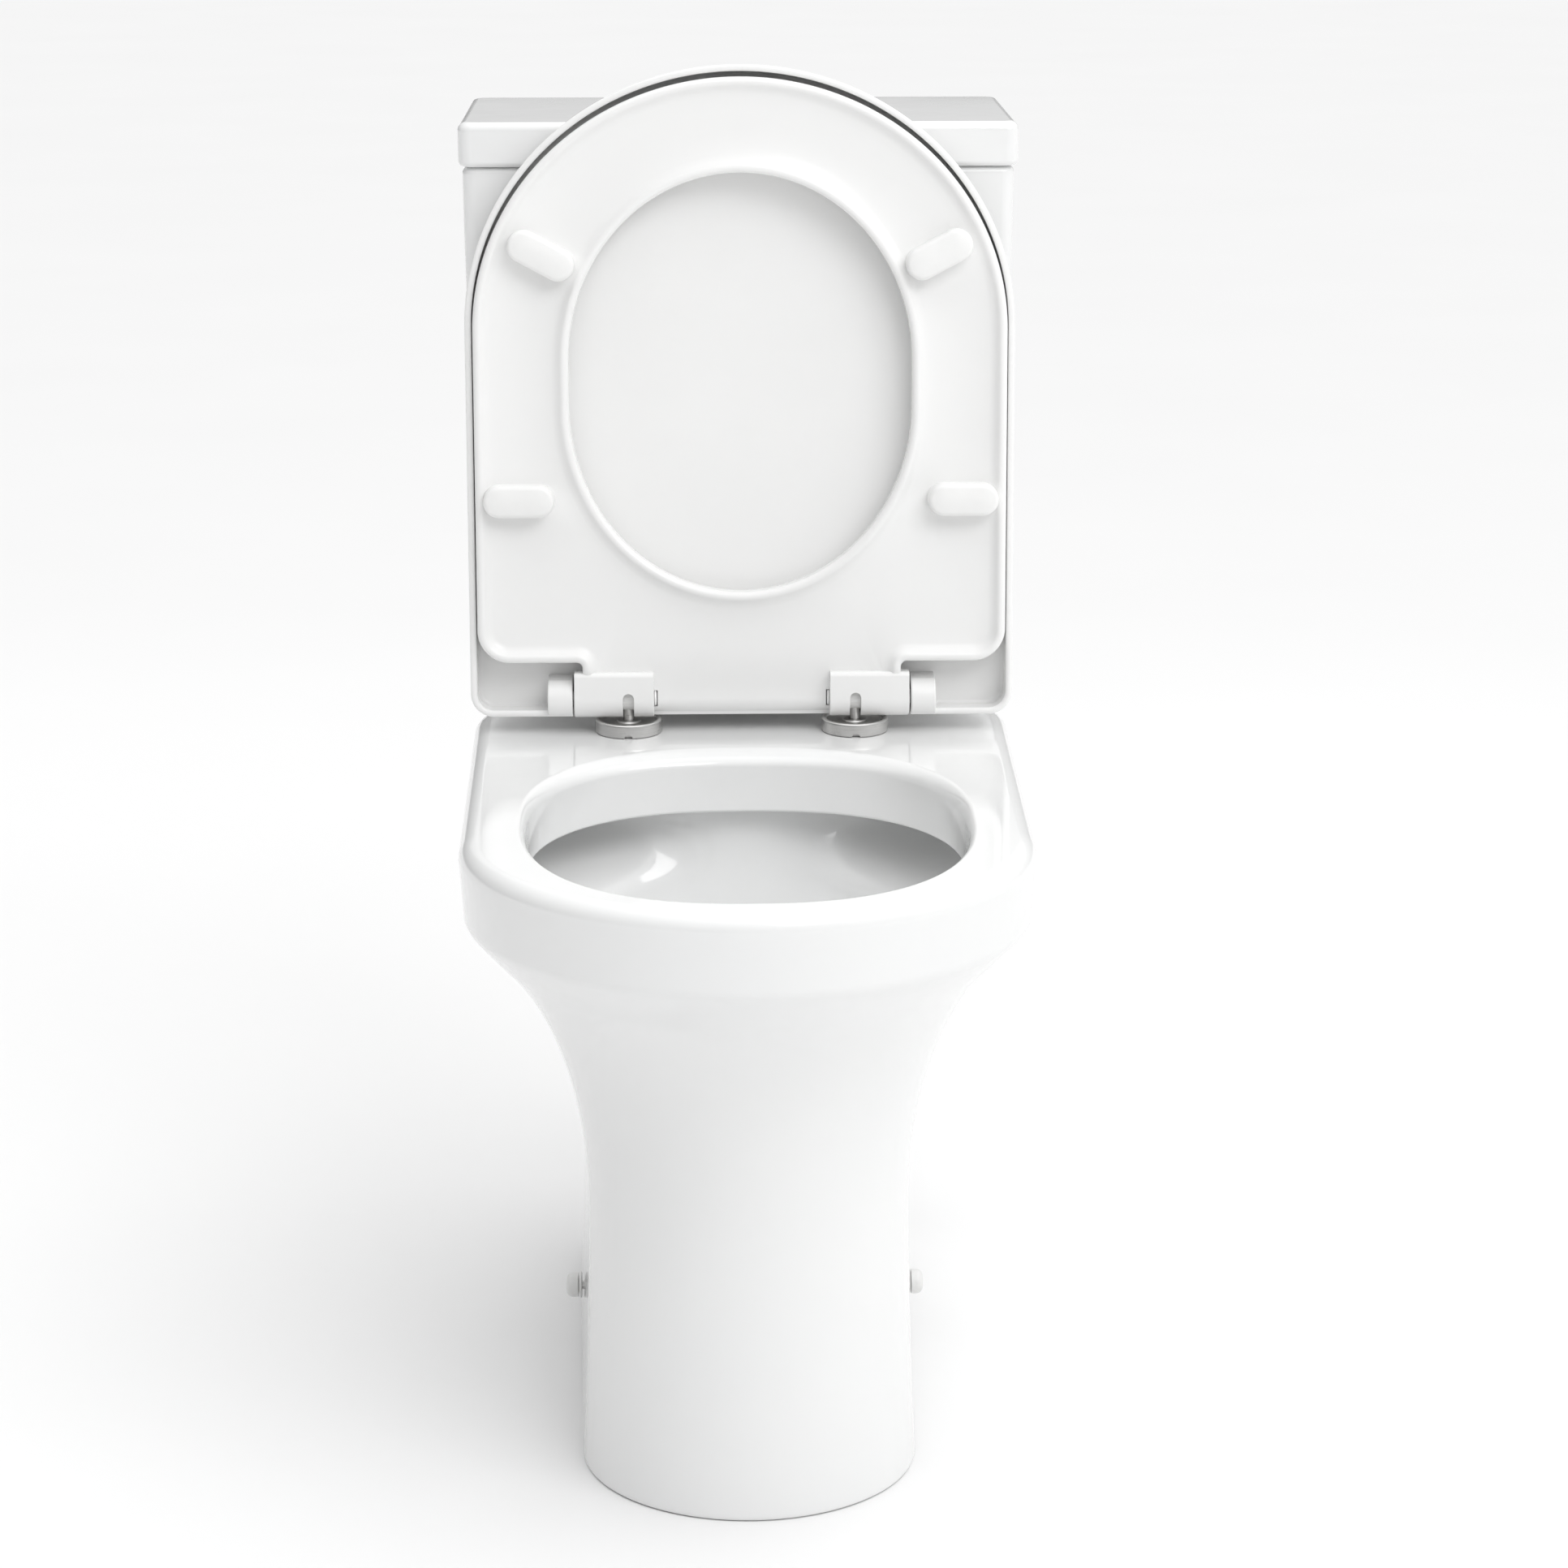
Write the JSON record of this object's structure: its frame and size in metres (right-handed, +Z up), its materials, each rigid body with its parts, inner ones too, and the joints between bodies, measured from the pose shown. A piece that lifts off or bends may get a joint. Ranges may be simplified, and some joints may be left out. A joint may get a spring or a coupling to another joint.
{
  "type": "close coupled toilet",
  "caption": "Close coupled toilet with a pedestal pan, open rim bowl, raised soft close seat and lid, cistern with a push button, and the works inside.",
  "frame": {"origin": "centre of the footprint's bounding box, on the floor", "axes": "+Z up, +Y to the wall behind, -Y to the front of the bowl, +X to the right as seen from the front"},
  "size_m": [0.379, 0.664, 0.8733],
  "materials": {
    "china": "glossy white glaze",
    "seat_plastic": "glossy white thermoset",
    "buffer_rubber": "soft white",
    "steel": "satin",
    "chrome": "polished plate",
    "white_plastic": "moulded white",
    "grey_plastic": "moulded grey",
    "black_rubber": "matt black",
    "brass": "plain"
  },
  "bodies": {
    "base": {"pan": "china", "cistern": "china", "hinge_disc_left": "steel", "hinge_disc_right": "steel", "hinge_post_left": "steel", "hinge_post_right": "steel", "hinge_core_left": "white_plastic", "hinge_core_right": "white_plastic", "hinge_washer_left": "black_rubber", "hinge_washer_right": "black_rubber", "hinge_nut_left": "white_plastic", "hinge_nut_right": "white_plastic", "coupling_bolt_left": "brass", "coupling_bolt_right": "brass", "coupling_seal_left": "black_rubber", "coupling_seal_right": "black_rubber", "coupling_nut_left": "brass", "coupling_nut_right": "brass", "floor_bracket_left": "steel", "floor_bracket_right": "steel", "side_screw_left": "steel", "side_screw_right": "steel", "cap_collar_left": "white_plastic", "cap_collar_right": "white_plastic", "screw_cap_left": "white_plastic", "screw_cap_right": "white_plastic", "flush_valve_body": "white_plastic", "flush_backnut": "white_plastic", "coupling_gasket": "black_rubber", "fill_valve": "white_plastic", "fill_valve_seal": "black_rubber", "fill_valve_nut": "white_plastic"},
    "lid": {"toilet_lid": "seat_plastic"},
    "seat_ring": {"seat": "seat_plastic", "hinge_plug_left": "seat_plastic", "hinge_plug_right": "seat_plastic", "seat_buffer_rear_left": "buffer_rubber", "seat_buffer_rear_right": "buffer_rubber", "seat_buffer_front_left": "buffer_rubber", "seat_buffer_front_right": "buffer_rubber"},
    "cistern_cover": {"cistern_lid": "china", "button_bezel": "chrome", "button_nut": "white_plastic"},
    "full_button": {"full_flush_button": "chrome"},
    "half_button": {"half_flush_button": "chrome"},
    "flush_core": {"flush_valve_core": "grey_plastic", "flush_seal": "black_rubber"},
    "float": {"fill_float": "grey_plastic"},
    "lever": {"float_lever": "white_plastic"}
  },
  "joints": [
    {"name": "lid_hinge", "type": "hinge", "parent": "base", "child": "lid", "pos_m": [0, 0.088, 0.4485], "axis": [1, 0, 0], "range_deg": [0, 95]},
    {"name": "seat_hinge", "type": "hinge", "parent": "lid", "child": "seat_ring", "pos_m": [0, 0.088, 0.4485], "axis": [-1, 0, 0], "range_deg": [-95, 0]},
    {"name": "cistern_lid_lift", "type": "slide", "parent": "base", "child": "cistern_cover", "axis": [0, 0, 1], "range_m": [0, 0.06]},
    {"name": "full_flush_press", "type": "slide", "parent": "cistern_cover", "child": "full_button", "axis": [0, 0, -1], "range_m": [0, 0.006], "stiffness_N_per_m": 400},
    {"name": "half_flush_press", "type": "slide", "parent": "cistern_cover", "child": "half_button", "axis": [0, 0, -1], "range_m": [0, 0.006], "stiffness_N_per_m": 400},
    {"name": "flush_core_lift", "type": "slide", "parent": "base", "child": "flush_core", "axis": [0, 0, 1], "range_m": [0, 0.0121]},
    {"name": "float_slide", "type": "slide", "parent": "base", "child": "float", "axis": [0, 0, 1], "range_m": [0, 0.008]},
    {"name": "float_lever_pivot", "type": "hinge", "parent": "base", "child": "lever", "pos_m": [-0.149, 0.24, 0.757], "axis": [0, 1, 0], "range_deg": [-13.5, 0]}
  ],
  "couplings": [
    {"joint": "flush_core_lift", "follows": "full_flush_press", "ratio": 2},
    {"joint": "float_lever_pivot", "follows": "float_slide", "rad_per_m": -28.985}
  ]
}
